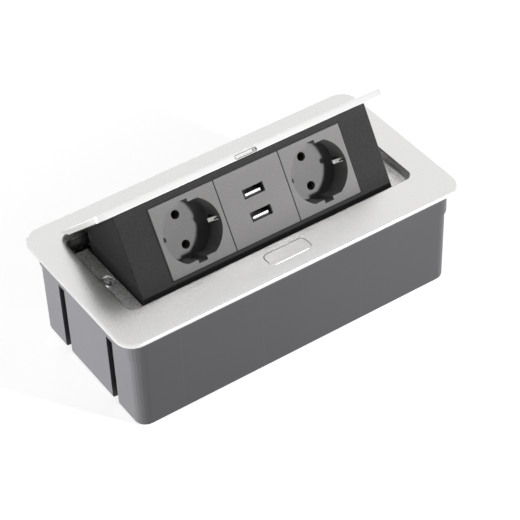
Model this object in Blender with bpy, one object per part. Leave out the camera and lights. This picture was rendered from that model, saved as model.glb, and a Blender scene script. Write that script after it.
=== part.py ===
"""In-desk power module: silver frame with a tilting lid that carries two mains sockets and two USB ports.

Metres, +Z up. Origin under the centre of the housing, on its underside. Stored with the lid open.
"""
import math

import bmesh
import bpy
from mathutils import Matrix, Vector

# Overall
HEIGHT = 0.0722
CLEARANCE = 0.0003
PANEL_HALF = 0.0895

# Flange and lid opening, laid out from the socket panel outwards
WELL_GAP = 0.0010
WELL_HALF = PANEL_HALF + WELL_GAP
LEDGE_WIDTH = 0.0113
OPENING_HALF = WELL_HALF + LEDGE_WIDTH
FLANGE_END = 0.0197
FLANGE_LENGTH = 2 * (OPENING_HALF + FLANGE_END)
FLANGE_DEPTH = 0.1227
FLANGE_THICK = 0.0025
RIM_SEAT = 0.0005
FLANGE_CORNER = 0.0120
RIM_ROUND = 0.0013
OPENING_FRONT = -0.0344
OPENING_BACK = 0.0399
OPENING_CORNER = 0.0052
OPENING_ROUND = 0.0010
TRAY_WALL = 0.0022
LEDGE_DROP = 0.0065
LEDGE_THICK = 0.0025
LEDGE_FILLET = 0.0020
LEDGE_BACK = 0.0333

# Frame screws
SCREW_INSET = 0.0060
SCREW_X = WELL_HALF + SCREW_INSET
SCREW_Y = 0.0015
SCREW_HEAD_R = 0.0040
SCREW_HEAD_H = 0.0020
SCREW_SHAFT_R = 0.0017
SCREW_LENGTH = 0.0180
COUNTERBORE_R = 0.0046
COUNTERBORE_DEPTH = 0.0030
SCREW_BOSS_R = 0.0056
SCREW_BOSS_DROP = 0.0120
SCREW_BORE_DEPTH = 0.0200

# Housing
FLANGE_LIP = 0.0076
HOUSING_HALF_X = FLANGE_LENGTH / 2 - FLANGE_LIP
HOUSING_HALF_Y = 0.0567
HOUSING_CORNER = 0.0080
HOUSING_WALL = 0.0025
HOUSING_FOOT_ROUND = 0.0015
HOUSING_DRAFT = 0.0004
COLLAR_DROP = 0.0198
COLLAR_PROUD = 0.0010
COLLAR_SLOPE = 0.0010
COLLAR_WALL = 0.0023
GROOVE_WIDTH = 0.0067
GROOVE_DEPTH = 0.0050
GROOVE_CENTRES = (-0.0272, 0.0272)
POST_R = 0.0043
GLAND_Z = 0.0150
GLAND_HOLE_R = 0.0072
CORD_R = 0.0042
TERMINAL_SIZE = (0.0380, 0.0150, 0.0150)
TERMINAL_Y = 0.0405

# Release button and latch
BUTTON_LENGTH = 0.0302
BUTTON_DEPTH = 0.0115
BUTTON_Y = -0.04575
BUTTON_CORNER = 0.0040
BUTTON_THICK = 0.0030
BUTTON_TRAVEL = 0.0025
LATCH_TRAVEL = 0.0015
LATCH_HALF = 0.0070
LATCH_THICK = 0.0018
LATCH_DROP = 0.00235
SLIDER_HALF = 0.0151
SLIDER_DROP = 0.0099
SLIDER_THICK = 0.0018
SLIDER_FRONT = -0.0500
SLIDER_BACK = -0.0370
STEM_HALF = 0.0080
SMALL_SPRING_R = 0.0014
SMALL_WIRE_R = 0.00025
BUTTON_SPRING_X = -0.0120
BUTTON_SPRING_SEAT = 0.0075
LATCH_SPRING_X = 0.0118
LATCH_SPRING_DROP = 0.0079

# Hinge, with the angle the lid stands open at
HINGE_Y = 0.0442
HINGE_DROP = 0.0140
OPEN_ANGLE = 43.0
PIN_R = 0.0020
PIN_CLEARANCE = 0.0002
EAR_GAP = 0.0023
EAR_INNER = PANEL_HALF + EAR_GAP
EAR_THICK = 0.0042
EAR_R = 0.0050
ARM_BOSS_R = 0.0035
PIN_REACH = 0.0100
PIN_INNER = PANEL_HALF - PIN_REACH
SPRING_WIRE_R = 0.00045
SPRING_COIL_R = 0.0029

# Lid
LID_GAP = 0.0004
LID_HALF = OPENING_HALF - LID_GAP
LID_FRONT = -0.0339
LID_BACK = 0.0359
LID_CORNER = 0.0046
LID_THICK = 0.0040
LID_TAIL_THICK = 0.0015
LID_TAPER_START = 0.0510
LID_TAPER_END = 0.0620
NOTCH_HALF = 0.0075
NOTCH_HEIGHT = 0.0023
NOTCH_DEPTH = 0.0030

# Socket block. The panel is laid out in its own plane, around the middle of the module row.
PANEL_TILT = 58.0
MODULE_HEIGHT = 0.0450
ROW_EDGE_Y = -0.0268
ROW_EDGE_DROP = 0.0010
PANEL_TOP_BORDER = 0.0045
PANEL_LOW_BORDER = 0.0060
PANEL_THICK = 0.0030
CHEEK_THICK = 0.0027
ROOF_THICK = 0.0010
SOCKET_WIDTH = 0.0450
USB_WIDTH = 0.0460
FACE_PROUD = 0.0004
FACE_THICK = 0.0040
COVER_THICK = 0.0018
# Points of the cheeks' back and lower edges and of the cover's bend, in the shut pose: back from the
# middle of the frame, and down from the flange's top
CHEEK_ROOF_BACK = 0.0208
CHEEK_BACK = ((0.0251, 0.0111), (0.0282, 0.0178), (0.0395, 0.0166))
CHEEK_LOWER = ((0.0380, 0.0240), (0.0262, 0.0360), (0.0205, 0.0595))
COVER_START = 0.0190
COVER_BEND = ((0.0238, 0.0125), (0.0262, 0.0180), (0.0248, 0.0355), (0.0195, 0.0583))

# Mains socket
RECESS_R = 0.0196
RECESS_DEPTH = 0.0168
CUP_R = 0.0221
CUP_FLOOR = 0.0025
FLAT_INWARD = 0.0025
GUIDE_HALF = 0.0031
PIN_PITCH = 0.0190
PIN_HOLE_R = 0.0028
CONTACT_R = 0.0039
CONTACT_BORE_R = 0.0025
CONTACT_SETBACK = 0.0025
CONTACT_LENGTH = 0.0110
CLIP_HALF = 0.0012
CLIP_THICK = 0.0007
CLIP_SIDE_GAP = 0.0004
CLIP_REACH = 0.0046

# USB module
PORT_OFFSETS = (0.0067, -0.0078)
PORT_HALF_X = 0.0071
PORT_HALF_V = 0.0028
SHELL_WALL = 0.00045
SHELL_LENGTH = 0.0165
SHELL_SETBACK = 0.0018
TONGUE_HALF = 0.0054
TONGUE_THICK = 0.0014
TONGUE_SETBACK = 0.0014

ARC = 6


def smooth(mesh, angle=32.0):
    """Smooth shading with sharp edges kept."""
    mesh.shade_smooth()
    mesh.set_sharp_from_angle(angle=math.radians(angle))


def as_object(bm, name="tool"):
    bmesh.ops.recalc_face_normals(bm, faces=bm.faces)
    mesh = bpy.data.meshes.new(name)
    bm.to_mesh(mesh)
    bm.free()
    obj = bpy.data.objects.new(name, mesh)
    bpy.context.scene.collection.objects.link(obj)
    return obj


def loft(loops):
    """Closed body through loops with equal point counts, capped at both ends."""
    bm = bmesh.new()
    rings = [[bm.verts.new(p) for p in loop] for loop in loops]
    count = len(loops[0])
    for low, high in zip(rings, rings[1:]):
        for i in range(count):
            j = (i + 1) % count
            bm.faces.new((low[i], low[j], high[j], high[i]))
    bm.faces.new(rings[0][::-1])
    bm.faces.new(rings[-1])
    return as_object(bm)


def box(x0, x1, y0, y1, z0, z1):
    corners = ((x0, y0), (x1, y0), (x1, y1), (x0, y1))
    return loft([[(x, y, z) for x, y in corners] for z in (z0, z1)])


def prism_x(points, x0, x1):
    """Extrude a (y, z) outline along X."""
    return loft([[(x, y, z) for y, z in points] for x in (x0, x1)])


def prism_y(points, y0, y1):
    """Extrude an (x, z) outline along Y."""
    return loft([[(x, y, z) for x, z in points] for y in (y0, y1)])


def rounded(x0, x1, y0, y1, radius, z, inset=0.0):
    """Rounded rectangle at height z, moved inwards by inset."""
    x0, x1, y0, y1 = x0 + inset, x1 - inset, y0 + inset, y1 - inset
    r = max(radius - inset, 0.0004)
    points = []
    for cx, cy, start in ((x1 - r, y1 - r, 0), (x0 + r, y1 - r, 90), (x0 + r, y0 + r, 180), (x1 - r, y0 + r, 270)):
        for k in range(ARC + 1):
            a = math.radians(start + 90 * k / ARC)
            points.append((cx + r * math.cos(a), cy + r * math.sin(a), z))
    return points


def turned(profile, centre=(0, 0, 0), sides=32):
    """Body of revolution about Z. The profile is (radius, z) and its ends lie on the axis or close a ring."""
    ring = profile[0][0] > 0
    bm = bmesh.new()
    rows = []
    for r, z in profile:
        if r <= 0:
            rows.append([bm.verts.new((centre[0], centre[1], centre[2] + z))])
            continue
        rows.append([bm.verts.new((centre[0] + r * math.cos(2 * math.pi * k / sides),
                                   centre[1] + r * math.sin(2 * math.pi * k / sides),
                                   centre[2] + z)) for k in range(sides)])
    pairs = list(zip(rows, rows[1:]))
    if ring:
        pairs.append((rows[-1], rows[0]))
    for low, high in pairs:
        for k in range(sides):
            n = (k + 1) % sides
            if len(low) == 1:
                bm.faces.new((low[0], high[n], high[k]))
            elif len(high) == 1:
                bm.faces.new((low[k], low[n], high[0]))
            else:
                bm.faces.new((low[k], low[n], high[n], high[k]))
    return as_object(bm)


def cylinder(radius, z0, z1, x=0.0, y=0.0, sides=32):
    return turned([(0, z0), (radius, z0), (radius, z1), (0, z1)], (x, y, 0), sides)


def lay_along_x(obj, x, y, z):
    """Turn a body made about Z so that its axis runs along +X, and move it."""
    obj.data.transform(Matrix.Translation((x, y, z)) @ Matrix.Rotation(math.radians(90), 4, "Y"))
    return obj


def wire(points, radius, sides=6):
    """Round wire along a path."""
    bm = bmesh.new()
    path = [Vector(p) for p in points]
    side = None
    rings = []
    for i, p in enumerate(path):
        ahead = (path[min(i + 1, len(path) - 1)] - path[max(i - 1, 0)]).normalized()
        if side is None:
            side = ahead.orthogonal()
        side = (side - ahead * side.dot(ahead)).normalized()
        other = ahead.cross(side)
        rings.append([bm.verts.new(p + radius * (side * math.cos(2 * math.pi * k / sides)
                                                 + other * math.sin(2 * math.pi * k / sides)))
                      for k in range(sides)])
    for low, high in zip(rings, rings[1:]):
        for k in range(sides):
            n = (k + 1) % sides
            bm.faces.new((low[k], low[n], high[n], high[k]))
    bm.faces.new(rings[0][::-1])
    bm.faces.new(rings[-1])
    return as_object(bm)


def strip(points, thickness):
    """Outline of a bent strip of even thickness along an open (a, b) path."""
    left, right = [], []
    for i, p in enumerate(points):
        p = Vector(p)
        before = (p - Vector(points[i - 1])).normalized() if i else None
        after = (Vector(points[i + 1]) - p).normalized() if i + 1 < len(points) else None
        along = ((before or after) + (after or before)).normalized()
        normal = Vector((-along.y, along.x))
        widen = 1.0 / max(normal.dot(Vector((-(after or before).y, (after or before).x))), 0.5)
        left.append(p + normal * thickness * 0.5 * widen)
        right.append(p - normal * thickness * 0.5 * widen)
    return [tuple(p) for p in left + right[::-1]]


def boolean(target, tools, operation):
    for tool in tools:
        tool.hide_render = True
        tool.display_type = "WIRE"
        step = target.modifiers.new("shape", "BOOLEAN")
        step.operation = operation
        step.solver = "EXACT"
        step.object = tool
    graph = bpy.context.evaluated_depsgraph_get()
    mesh = bpy.data.meshes.new_from_object(target.evaluated_get(graph))
    target.modifiers.clear()
    target.data = mesh
    for tool in tools:
        bpy.data.objects.remove(tool)
    return target


def add(target, *tools):
    return boolean(target, tools, "UNION")


def cut(target, *tools):
    return boolean(target, tools, "DIFFERENCE")


def material(name, colour, metallic, roughness):
    mat = bpy.data.materials.new(name)
    mat.use_nodes = True
    shader = mat.node_tree.nodes["Principled BSDF"]
    shader.inputs["Base Color"].default_value = (*colour, 1.0)
    shader.inputs["Metallic"].default_value = metallic
    shader.inputs["Roughness"].default_value = roughness
    return mat


def finish(obj, name, look, parent=None):
    """Name the node, weld its mesh, give it its own material and hang it on its empty."""
    bm = bmesh.new()
    bm.from_mesh(obj.data)
    bmesh.ops.remove_doubles(bm, verts=bm.verts, dist=0.000001)
    bmesh.ops.recalc_face_normals(bm, faces=bm.faces)
    bm.to_mesh(obj.data)
    bm.free()
    obj.name = name
    obj.data.name = name
    obj.data.materials.clear()
    obj.data.materials.append(material(name, *LOOKS[look]))
    smooth(obj.data)
    obj.parent = parent
    return obj


def empty(name, location, rotation_x=0.0, parent=None):
    obj = bpy.data.objects.new(name, None)
    bpy.context.scene.collection.objects.link(obj)
    obj.location = location
    obj.rotation_euler = (math.radians(rotation_x), 0.0, 0.0)
    obj.parent = parent
    return obj


LOOKS = {
    "silver": ((0.72, 0.72, 0.71), 0.55, 0.38),
    "grey_plastic": ((0.135, 0.135, 0.142), 0.0, 0.5),
    "black_plastic": ((0.035, 0.034, 0.034), 0.0, 0.55),
    "module_plastic": ((0.13, 0.127, 0.124), 0.0, 0.42),
    "steel": ((0.62, 0.62, 0.63), 1.0, 0.3),
    "dark_steel": ((0.20, 0.20, 0.21), 1.0, 0.4),
    "brass": ((0.65, 0.50, 0.24), 1.0, 0.35),
    "white_plastic": ((0.75, 0.75, 0.74), 0.0, 0.4),
    "green_board": ((0.03, 0.16, 0.07), 0.0, 0.5),
    "rubber": ((0.02, 0.02, 0.02), 0.0, 0.8),
}


def turn(y, z, degrees):
    a = math.radians(degrees)
    return y * math.cos(a) - z * math.sin(a), y * math.sin(a) + z * math.cos(a)


def panel_origin():
    """Middle of the module row, relative to the hinge axis with the lid shut."""
    a = math.radians(PANEL_TILT)
    y = ROW_EDGE_Y + 0.5 * MODULE_HEIGHT * math.cos(a)
    z = -ROW_EDGE_DROP + 0.5 * MODULE_HEIGHT * math.sin(a)
    return turn(y - HINGE_Y, z + HINGE_DROP, OPEN_ANGLE)


def to_panel(y, drop):
    """Shut-pose (y, depth under the flange top) to the panel's own plane: along it and out of it."""
    oy, oz = panel_origin()
    return turn(y - HINGE_Y - oy, HINGE_DROP - drop - oz, -(PANEL_TILT + OPEN_ANGLE))


def make_frame():
    top = HEIGHT
    hx, hy = FLANGE_LENGTH / 2, FLANGE_DEPTH / 2
    loops = [rounded(-hx, hx, -hy, hy, FLANGE_CORNER, top - FLANGE_THICK, 0.0004),
             rounded(-hx, hx, -hy, hy, FLANGE_CORNER, top - FLANGE_THICK + 0.0004, 0.0)]
    for k in range(5):
        a = math.radians(90 * k / 4)
        loops.append(rounded(-hx, hx, -hy, hy, FLANGE_CORNER, top - RIM_ROUND * (1 - math.sin(a)),
                             RIM_ROUND * (1 - math.cos(a))))
    body = loft(loops)
    # Shallow seat for the housing's rim, so that the flange lies on the desk with a plain ring
    reach = COLLAR_PROUD + CLEARANCE
    seat_floor = top - FLANGE_THICK + RIM_SEAT
    cut(body, loft([rounded(-HOUSING_HALF_X, HOUSING_HALF_X, -HOUSING_HALF_Y, HOUSING_HALF_Y, HOUSING_CORNER, z, -reach)
                    for z in (top - FLANGE_THICK - 0.001, seat_floor)]))
    ledge_low = top - LEDGE_DROP - LEDGE_THICK
    tray = loft([rounded(-OPENING_HALF, OPENING_HALF, OPENING_FRONT, OPENING_BACK, OPENING_CORNER, z, -TRAY_WALL)
                 for z in (ledge_low, top - 0.0012)])
    parts = [tray]
    for side in (-1, 1):
        parts.append(cylinder(SCREW_BOSS_R, top - SCREW_BOSS_DROP, top - LEDGE_DROP - 0.001,
                              side * SCREW_X, SCREW_Y))
        # Hinge ear hanging from the flange behind the tray
        x0, x1 = sorted((side * EAR_INNER, side * (EAR_INNER + EAR_THICK)))
        hz = top - HINGE_DROP
        ear = [(HINGE_Y - EAR_R, seat_floor + 0.0004), (HINGE_Y - EAR_R, hz)]
        ear += [(HINGE_Y - EAR_R * math.cos(math.radians(t)), hz - EAR_R * math.sin(math.radians(t)))
                for t in range(20, 180, 20)]
        ear += [(HINGE_Y + EAR_R, hz), (HINGE_Y + EAR_R, seat_floor + 0.0004)]
        parts.append(prism_x(ear, x0, x1))
        # Button guide wall with the lip the slider runs on
        wall_in = BUTTON_LENGTH / 2 + 0.0003
        wall_out = wall_in + 0.0018
        x0, x1 = sorted((side * wall_in, side * wall_out))
        front = -(HOUSING_HALF_Y + COLLAR_PROUD - COLLAR_WALL) + 0.0005
        low = top - SLIDER_DROP - SLIDER_THICK - 0.0018
        parts.append(box(x0, x1, front, OPENING_FRONT - 0.001, low, seat_floor + 0.0004))
        x0, x1 = sorted((side * (SLIDER_HALF - 0.0015), side * (wall_in + 0.0006)))
        parts.append(box(x0, x1, front, OPENING_FRONT - TRAY_WALL - 0.0004, low, low + 0.0014))
    # Seats of the two small springs
    wall_in = BUTTON_LENGTH / 2 + 0.0006
    shelf = top - BUTTON_SPRING_SEAT
    parts.append(box(-wall_in, BUTTON_SPRING_X + 0.0024, BUTTON_Y - 0.0025, BUTTON_Y + 0.0030, shelf - 0.0012, shelf))
    seat = top - LATCH_SPRING_DROP
    parts.append(box(LATCH_SPRING_X - 0.0019, wall_in, SLIDER_FRONT + 0.0002, SLIDER_FRONT + 0.0015,
                     seat - 0.0017, seat + 0.0020))
    add(body, *parts)

    recess = []
    fillet = LEDGE_FILLET
    for k in range(5):
        a = math.radians(90 * k / 4)
        recess.append((top - LEDGE_DROP + fillet * (1 - math.cos(a)), fillet * (1 - math.sin(a))))
    for k in range(5):
        a = math.radians(90 * k / 4)
        recess.append((top - OPENING_ROUND * (1 - math.sin(a)), -OPENING_ROUND * (1 - math.cos(a))))
    recess.append((top + 0.002, -OPENING_ROUND))
    tools = [loft([rounded(-OPENING_HALF, OPENING_HALF, OPENING_FRONT, OPENING_BACK, OPENING_CORNER, z, inset)
                   for z, inset in recess])]
    tools.append(box(-WELL_HALF, WELL_HALF, OPENING_FRONT, OPENING_BACK, top - 0.03, top - 0.003))
    tools.append(loft([rounded(-OPENING_HALF, OPENING_HALF, LEDGE_BACK, OPENING_BACK, 0.0012, z, 0.0)
                       for z in (top - 0.03, top - 0.005)]))
    for side in (-1, 1):
        floor = top - LEDGE_DROP - COUNTERBORE_DEPTH
        tools.append(cylinder(COUNTERBORE_R, floor, top, side * SCREW_X, SCREW_Y))
        tools.append(cylinder(SCREW_SHAFT_R + 0.0004, top - SCREW_BORE_DEPTH, top, side * SCREW_X, SCREW_Y, 20))
        bore = turned([(0, -0.01), (PIN_R + PIN_CLEARANCE, -0.01), (PIN_R + PIN_CLEARANCE, 0.01), (0, 0.01)])
        tools.append(lay_along_x(bore, side * (EAR_INNER + EAR_THICK / 2), HINGE_Y, top - HINGE_DROP))
    # Button hole, and the slot the latch tongue comes through
    hx, hy = BUTTON_LENGTH / 2, BUTTON_DEPTH / 2
    tools.append(loft([rounded(-hx, hx, BUTTON_Y - hy, BUTTON_Y + hy, BUTTON_CORNER, z, 0.0)
                       for z in (top - 0.004, top + 0.002)]))
    half = LATCH_HALF + 0.0004
    tools.append(box(-half, half, -0.0403, OPENING_FRONT + 0.001,
                     top - LATCH_DROP - LATCH_THICK / 2 - CLEARANCE, top - LATCH_DROP + LATCH_THICK / 2 + CLEARANCE))
    cut(body, *tools)
    return finish(body, "frame", "silver")


def make_frame_screws():
    for side, tag in ((-1, "l"), (1, "r")):
        seat = HEIGHT - LEDGE_DROP - COUNTERBORE_DEPTH + CLEARANCE
        head = seat + SCREW_HEAD_H
        profile = [(0, seat - SCREW_LENGTH), (SCREW_SHAFT_R * 0.6, seat - SCREW_LENGTH),
                   (SCREW_SHAFT_R, seat - SCREW_LENGTH + 0.0015), (SCREW_SHAFT_R, seat), (SCREW_HEAD_R, seat),
                   (SCREW_HEAD_R, head - 0.0009), (SCREW_HEAD_R * 0.82, head - 0.0003), (SCREW_HEAD_R * 0.45, head),
                   (0, head)]
        finish(turned(profile, (side * SCREW_X, SCREW_Y, 0)), "frame_screw_" + tag, "steel")


def make_housing():
    hx, hy, r = HOUSING_HALF_X, HOUSING_HALF_Y, HOUSING_CORNER
    step = HEIGHT - COLLAR_DROP
    rim = HEIGHT - FLANGE_THICK + RIM_SEAT - CLEARANCE
    levels = []
    for k in range(4):
        a = math.radians(90 * k / 3)
        levels.append((HOUSING_FOOT_ROUND * (1 - math.sin(a)), HOUSING_DRAFT + HOUSING_FOOT_ROUND * (1 - math.cos(a))))
    levels = [(z, inset) for z, inset in levels[::-1]]
    levels += [(step, 0.0), (step + COLLAR_SLOPE, -COLLAR_PROUD), (rim, -COLLAR_PROUD)]
    body = loft([rounded(-hx, hx, -hy, hy, r, z, inset) for z, inset in levels])
    inner = COLLAR_WALL - COLLAR_PROUD
    levels = [(HOUSING_WALL, HOUSING_WALL + HOUSING_DRAFT), (step + 0.0015, HOUSING_WALL), (step + 0.0015, inner),
              (rim + 0.002, inner)]
    cut(body, loft([rounded(-hx, hx, -hy, hy, r, z, inset) for z, inset in levels]))

    parts = []
    post_top = HEIGHT - SCREW_BOSS_DROP - CLEARANCE
    for side in (-1, 1):
        for y in GROOVE_CENTRES:
            half = GROOVE_WIDTH / 2 + 0.0022
            x0, x1 = sorted((side * (hx - GROOVE_DEPTH - 0.0022), side * (hx - 0.0015)))
            parts.append(box(x0, x1, y - half, y + half, 0.001, step + 0.0012))
        parts.append(cylinder(POST_R, 0.001, post_top, side * SCREW_X, SCREW_Y, 24))
        x0, x1 = sorted((side * SCREW_X, side * (hx - 0.0015)))
        parts.append(box(x0, x1, SCREW_Y - 0.0010, SCREW_Y + 0.0010, 0.001, step))
    # Two pegs the terminal block stands on
    for x in (-1, 1):
        x0, x1 = sorted((x * TERMINAL_SIZE[0] * 0.32, x * TERMINAL_SIZE[0] * 0.46))
        parts.append(box(x0, x1, TERMINAL_Y - 0.004, TERMINAL_Y + 0.004, 0.001, HOUSING_WALL + 0.0020))
    add(body, *parts)

    tools = []
    for side in (-1, 1):
        for y in GROOVE_CENTRES:
            x0, x1 = sorted((side * (hx - GROOVE_DEPTH), side * (hx + 0.0003)))
            tools.append(box(x0, x1, y - GROOVE_WIDTH / 2, y + GROOVE_WIDTH / 2, -0.002, step))
        tools.append(cylinder(SCREW_SHAFT_R + 0.0002, post_top - 0.0150, post_top + 0.002, side * SCREW_X, SCREW_Y, 20))
    hole = cylinder(GLAND_HOLE_R, -0.01, 0.01)
    hole.data.transform(Matrix.Translation((0, hy, GLAND_Z)) @ Matrix.Rotation(math.radians(90), 4, "X"))
    tools.append(hole)
    cut(body, *tools)
    return finish(body, "housing", "grey_plastic")


def make_cord_inlet():
    """Rubber grommet in the back wall, and the terminal block behind it."""
    neck = GLAND_HOLE_R - CLEARANCE
    wide = GLAND_HOLE_R + 0.0022
    inside = -HOUSING_WALL - CLEARANCE
    profile = [(CORD_R, 0.0008), (CORD_R, inside - 0.0016), (wide, inside - 0.0016), (wide, inside),
               (neck, inside), (neck, CLEARANCE), (wide, CLEARANCE), (wide - 0.0004, 0.0008)]
    grommet = turned(profile)
    wall_y = HOUSING_HALF_Y - HOUSING_DRAFT * (1 - GLAND_Z / (HEIGHT - COLLAR_DROP))
    grommet.data.transform(Matrix.Translation((0, wall_y, GLAND_Z))
                           @ Matrix.Rotation(math.radians(-90), 4, "X"))
    finish(grommet, "cord_grommet", "rubber")

    sx, sy, sz = TERMINAL_SIZE
    base = HOUSING_WALL + 0.0020 + CLEARANCE
    block = box(-sx / 2, sx / 2, TERMINAL_Y - sy / 2, TERMINAL_Y + sy / 2, base, base + sz)
    tools = []
    for k in (-1, 0, 1):
        tools.append(cylinder(0.0026, base + sz - 0.006, base + sz + 0.002, k * sx * 0.31, TERMINAL_Y, 20))
    cut(block, *tools)
    finish(block, "terminal_block", "white_plastic")


def coil(start, axis, radius, length, turns, steps=12):
    """Points of a helix along +Y or +Z from start."""
    points = []
    total = int(turns * steps)
    for k in range(total + 1):
        a = 2 * math.pi * k / steps
        h = length * k / total
        if axis == "Z":
            points.append((start[0] + radius * math.cos(a), start[1] + radius * math.sin(a), start[2] + h))
        else:
            points.append((start[0] + radius * math.cos(a), start[1] + h, start[2] + radius * math.sin(a)))
    return points


def make_button(pivot):
    """Cap with a wedge-shaped stem that draws the latch back."""
    ratio = LATCH_TRAVEL / BUTTON_TRAVEL
    top = 0.00015
    gap = 0.00025
    hx, hy = BUTTON_LENGTH / 2 - gap, BUTTON_DEPTH / 2 - gap
    body = loft([rounded(-hx, hx, -hy, hy, BUTTON_CORNER - gap, z, inset)
                 for z, inset in ((top - BUTTON_THICK, 0), (top - 0.0003, 0), (top, 0.0003))])
    rear = 0.00275
    low = -0.0134
    nose = -0.0120
    wide = -0.0060
    front = rear - 0.0030
    stem = [(rear, top - BUTTON_THICK + 0.001), (rear, low), (front, low), (front, nose),
            (front - ratio * (wide - nose), wide), (front - ratio * (wide - nose), top - BUTTON_THICK + 0.001)]
    barb = box(-STEM_HALF - 0.0009, STEM_HALF + 0.0009, front + 0.0002, rear - 0.0002, low + 0.0001, nose - 0.0001)
    add(body, prism_x(stem, -STEM_HALF, STEM_HALF), barb)
    finish(body, "release_button", "silver", pivot)

    start = (BUTTON_SPRING_X, BUTTON_Y, HEIGHT - BUTTON_SPRING_SEAT + 2 * SMALL_WIRE_R)
    length = BUTTON_SPRING_SEAT - BUTTON_THICK - 0.0008
    spring = wire(coil(start, "Z", SMALL_SPRING_R, length, 3), SMALL_WIRE_R)
    finish(spring, "button_spring", "steel")


def make_latch(pivot):
    """Slider under the flange with the tongue that holds the lid shut."""
    ratio = LATCH_TRAVEL / BUTTON_TRAVEL
    z1 = -SLIDER_DROP
    z0 = z1 - SLIDER_THICK
    body = box(-SLIDER_HALF, SLIDER_HALF, SLIDER_FRONT, SLIDER_BACK, z0, z1)
    tongue_low = -LATCH_DROP - LATCH_THICK / 2
    tongue_high = -LATCH_DROP + LATCH_THICK / 2
    back = SLIDER_BACK - 0.0001
    tip = OPENING_FRONT + 0.0014
    side = [(back - 0.0013, z0 + 0.0004), (back, z0 + 0.0004), (back, tongue_low), (tip - 0.0006, tongue_low),
            (tip, tongue_low + 0.0008), (tip, tongue_high - 0.0003), (tip - 0.0005, tongue_high),
            (back - 0.0013, tongue_high)]
    tab = box(LATCH_SPRING_X - 0.0020, LATCH_SPRING_X + 0.0020, SLIDER_BACK - 0.0046, SLIDER_BACK - 0.0034,
              z0 + 0.0004, -LATCH_SPRING_DROP + 0.0017)
    add(body, prism_x(side, -LATCH_HALF, LATCH_HALF), tab)
    # The window's front edge is slanted like the stem, 0.25 mm ahead of it
    front = BUTTON_Y - 0.00025 - 0.00025
    window = [(-0.0411, z0 - 0.001), (front - ratio * (z0 - 0.001 + 0.0120), z0 - 0.001),
              (front - ratio * (z1 + 0.001 + 0.0120), z1 + 0.001), (-0.0411, z1 + 0.001)]
    cut(body, prism_x(window, -STEM_HALF - 0.0004, STEM_HALF + 0.0004))
    body.data.transform(Matrix.Translation((0, -pivot.location.y, 0)))
    finish(body, "latch_slider", "dark_steel", pivot)

    start = (LATCH_SPRING_X, SLIDER_FRONT + 0.0019, HEIGHT - LATCH_SPRING_DROP)
    spring = wire(coil(start, "Y", SMALL_SPRING_R, SLIDER_BACK - SLIDER_FRONT - 0.0069, 4), SMALL_WIRE_R)
    finish(spring, "latch_spring", "steel")


def make_hinge():
    hz = HEIGHT - HINGE_DROP
    for side, tag in ((-1, "l"), (1, "r")):
        outer = EAR_INNER + EAR_THICK + CLEARANCE
        profile = [(0, PIN_INNER), (PIN_R - 0.0003, PIN_INNER), (PIN_R, PIN_INNER + 0.0003), (PIN_R, outer),
                   (PIN_R + 0.0014, outer), (PIN_R + 0.0014, outer + 0.0010), (PIN_R + 0.0009, outer + 0.0015),
                   (0, outer + 0.0015)]
        pin = lay_along_x(turned(profile, sides=24), 0, HINGE_Y, hz)
        if side < 0:
            pin.data.transform(Matrix.Rotation(math.radians(180), 4, "Z") @ Matrix.Translation((0, -2 * HINGE_Y, 0)))
        finish(pin, "hinge_pin_" + tag, "steel")

        # Spring coil on the inner end of the pin: one leg under the flange, the other under the arm
        start, end, turns, steps = PIN_INNER + 0.0011, PIN_INNER + 0.0057, 4.5, 12
        points = [(start, HINGE_Y + 0.0048, HEIGHT - FLANGE_THICK + RIM_SEAT - 0.0008)]
        points.append((start, HINGE_Y + SPRING_COIL_R + 0.0002, hz + 0.0020))
        count = int(turns * steps)
        for k in range(count + 1):
            a = -2 * math.pi * k / steps
            points.append((start + (end - start) * k / count, HINGE_Y + SPRING_COIL_R * math.cos(a),
                           hz + SPRING_COIL_R * math.sin(a)))
        points.append((end + 0.0002, HINGE_Y - SPRING_COIL_R - 0.0001, hz - 0.0012))
        points.append((end + 0.0002, HINGE_Y - 0.0116, hz - 0.0043))
        points.append((end + 0.0008, HINGE_Y - 0.0120, hz - 0.0044))
        points.append((end + 0.0038, HINGE_Y - 0.0120, hz - 0.0044))
        points = [(side * x, y, z) for x, y, z in points]
        finish(wire(points, SPRING_WIRE_R), "torsion_spring_" + tag, "steel")


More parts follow.
